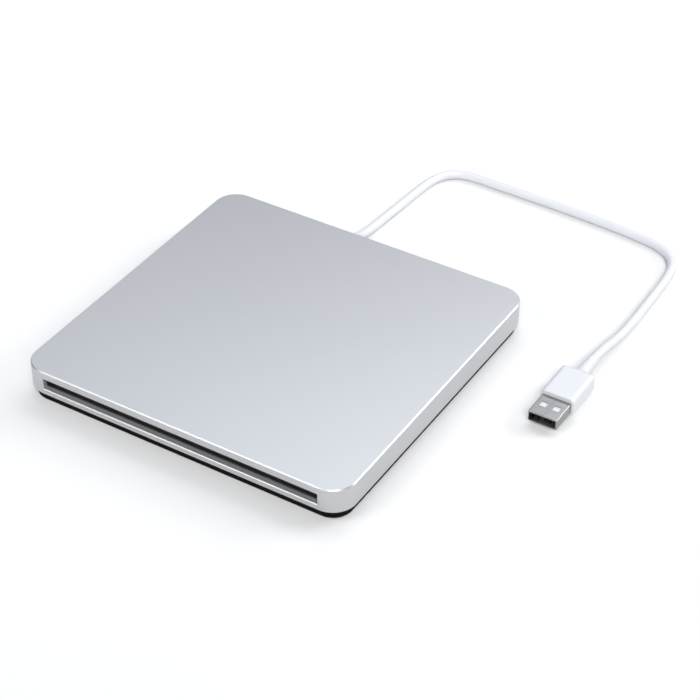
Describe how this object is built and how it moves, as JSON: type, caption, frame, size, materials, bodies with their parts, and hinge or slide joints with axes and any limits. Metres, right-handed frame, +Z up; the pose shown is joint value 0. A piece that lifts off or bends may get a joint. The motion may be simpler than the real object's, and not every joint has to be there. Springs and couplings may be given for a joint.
{
  "type": "external optical drive",
  "caption": "Slim square slot-loading disc drive in a satin metal case on a black base, with its loading gear and pickup inside and a short cord to a plug.",
  "frame": {"origin": "on the table under the middle of the case, without the cord and its plug", "axes": "+Z up, the disc slot on the -Y side, +X to the right seen from the slot, the cord leaves on the +Y side"},
  "size_m": [0.1833, 0.2201, 0.015],
  "materials": {
    "anodised_aluminium": "fine bead-blasted, satin anodised",
    "black_plastic": "fine moulded grain",
    "black_rubber": "matt",
    "felt": "short black pile",
    "screw_steel": "zinc plated",
    "sheet_steel": "galvanised sheet",
    "ground_steel": "ground",
    "rotor_steel": "turned",
    "magnet": "sintered",
    "brass": "turned",
    "copper": "enamelled wire",
    "white_acetal": "moulded acetal",
    "black_acetal": "moulded acetal",
    "diecast": "as cast",
    "lens_glass": "coated",
    "circuit_board": "solder mask over fibreglass",
    "chip_plastic": "moulded epoxy",
    "white_cord": "soft satin jacket",
    "white_mould": "satin moulding",
    "plug_steel": "nickel plated",
    "contact_gold": "gold plated"
  },
  "bodies": {
    "case": {"top_shell": "anodised_aluminium", "bottom_cover": "black_plastic", "base_pad": "black_rubber", "case_screws": "screw_steel", "slot_felts": "felt", "drive_chassis": "sheet_steel", "drive_lid": "sheet_steel", "lid_screws": "screw_steel", "drive_brackets": "sheet_steel", "bracket_bushes": "black_rubber", "bracket_screws": "screw_steel", "chassis_screws": "screw_steel", "disc_guide": "black_plastic", "loading_motor": "ground_steel", "motor_clip": "sheet_steel", "gear_pin": "ground_steel", "slider_guides": "ground_steel", "lever_pivots": "ground_steel", "main_board": "circuit_board", "board_chips": "chip_plastic", "drive_plug": "black_plastic", "bridge_board": "circuit_board", "bridge_socket": "black_plastic", "cable_grommet": "white_cord", "cord": "white_cord", "plug_overmould": "white_mould", "plug_shell": "plug_steel", "plug_tongue": "white_mould", "plug_contacts": "contact_gold"},
    "main_slider": {"main_slider": "white_acetal"},
    "cross_slider": {"cross_slider": "white_acetal"},
    "drive_gear": {"drive_gear": "white_acetal"},
    "motor_worm": {"motor_worm": "brass"},
    "link_lever": {"link_lever": "black_acetal"},
    "eject_lever": {"eject_lever": "black_acetal"},
    "eject_roller": {"eject_roller": "white_acetal"},
    "loading_lever": {"loading_lever": "black_acetal"},
    "loading_roller": {"loading_roller": "white_acetal"},
    "traverse": {"traverse_frame": "sheet_steel", "traverse_pins": "ground_steel", "rod_holders": "black_acetal", "guide_rods": "ground_steel", "spindle_base": "sheet_steel", "spindle_bearing": "brass", "spindle_stator": "magnet", "stator_coils": "copper", "screw_bracket": "sheet_steel", "sled_motor": "ground_steel"},
    "disc_table": {"turntable": "rotor_steel", "rotor_magnet": "magnet", "spindle_shaft": "ground_steel", "turntable_ring": "black_rubber", "centring_hub": "black_acetal", "hub_claws": "black_acetal"},
    "pickup": {"pickup_body": "diecast", "focus_magnets": "magnet", "screw_follower": "white_acetal"},
    "lens": {"lens_holder": "black_acetal", "objective_lens": "lens_glass"},
    "lead_screw": {"lead_screw": "ground_steel"}
  },
  "joints": [
    {"name": "main_slide", "type": "slide", "parent": "case", "child": "main_slider", "axis": [0, 1, 0], "range_m": [0, 0.012]},
    {"name": "cross_slide", "type": "slide", "parent": "case", "child": "cross_slider", "axis": [1, 0, 0], "range_m": [-0.0001, 0.0121]},
    {"name": "gear_turn", "type": "hinge", "parent": "case", "child": "drive_gear", "pos_m": [0.049, 0.012, 0.005], "axis": [0, 0, 1], "range_deg": [-2, 180]},
    {"name": "worm_turn", "type": "hinge", "parent": "case", "child": "motor_worm", "pos_m": [0.0399, 0.012, 0.0052], "axis": [0, 1, 0], "continuous": true},
    {"name": "link_turn", "type": "hinge", "parent": "case", "child": "link_lever", "pos_m": [0.044, 0.04, 0.0044], "axis": [0, 0, 1], "range_deg": [-0.5, 60.5]},
    {"name": "eject_turn", "type": "hinge", "parent": "case", "child": "eject_lever", "pos_m": [-0.054, 0.05, 0.0069], "axis": [0, 0, 1], "range_deg": [-0.5, 60.5]},
    {"name": "loading_turn", "type": "hinge", "parent": "case", "child": "loading_lever", "pos_m": [0.052, -0.024, 0.0069], "axis": [0, 0, 1], "range_deg": [-40.5, 0.5]},
    {"name": "eject_roller_spin", "type": "hinge", "parent": "eject_lever", "child": "eject_roller", "pos_m": [-0.03068, 0.01961, 0.009], "axis": [0, 0, 1], "continuous": true},
    {"name": "loading_roller_spin", "type": "hinge", "parent": "loading_lever", "child": "loading_roller", "pos_m": [0.05951, -0.05304, 0.009], "axis": [0, 0, 1], "continuous": true},
    {"name": "traverse_tilt", "type": "hinge", "parent": "case", "child": "traverse", "pos_m": [-0.04738, -0.05138, 0.0064], "axis": [0.7071, -0.7071, 0], "range_deg": [-0.02, 1.82]},
    {"name": "table_spin", "type": "hinge", "parent": "traverse", "child": "disc_table", "pos_m": [-0.00001, -0.00401, 0.0049], "axis": [0.0222, 0.0222, 0.9995], "continuous": true},
    {"name": "pickup_slide", "type": "slide", "parent": "traverse", "child": "pickup", "axis": [-0.7068, -0.7068, 0.0314], "range_m": [0, 0.035]},
    {"name": "screw_turn", "type": "hinge", "parent": "traverse", "child": "lead_screw", "pos_m": [-0.01302, -0.04756, 0.00575], "axis": [0.7068, 0.7068, -0.0314], "continuous": true},
    {"name": "lens_focus", "type": "slide", "parent": "pickup", "child": "lens", "axis": [0.0222, 0.0222, 0.9995], "range_m": [-0.0003, 0.0003], "stiffness_N_per_m": 60}
  ],
  "couplings": [
    {"joint": "cross_slide", "follows": "main_slide", "ratio": 1},
    {"joint": "gear_turn", "follows": "main_slide", "rad_per_m": 250},
    {"joint": "worm_turn", "follows": "main_slide", "rad_per_m": 9000},
    {"joint": "link_turn", "follows": "main_slide", "rad_per_m": 87.266},
    {"joint": "eject_turn", "follows": "main_slide", "rad_per_m": 87.266},
    {"joint": "loading_turn", "follows": "main_slide", "rad_per_m": -58.178},
    {"joint": "traverse_tilt", "follows": "main_slide", "rad_per_m": 2.618},
    {"joint": "screw_turn", "follows": "pickup_slide", "rad_per_m": 3141.6}
  ]
}
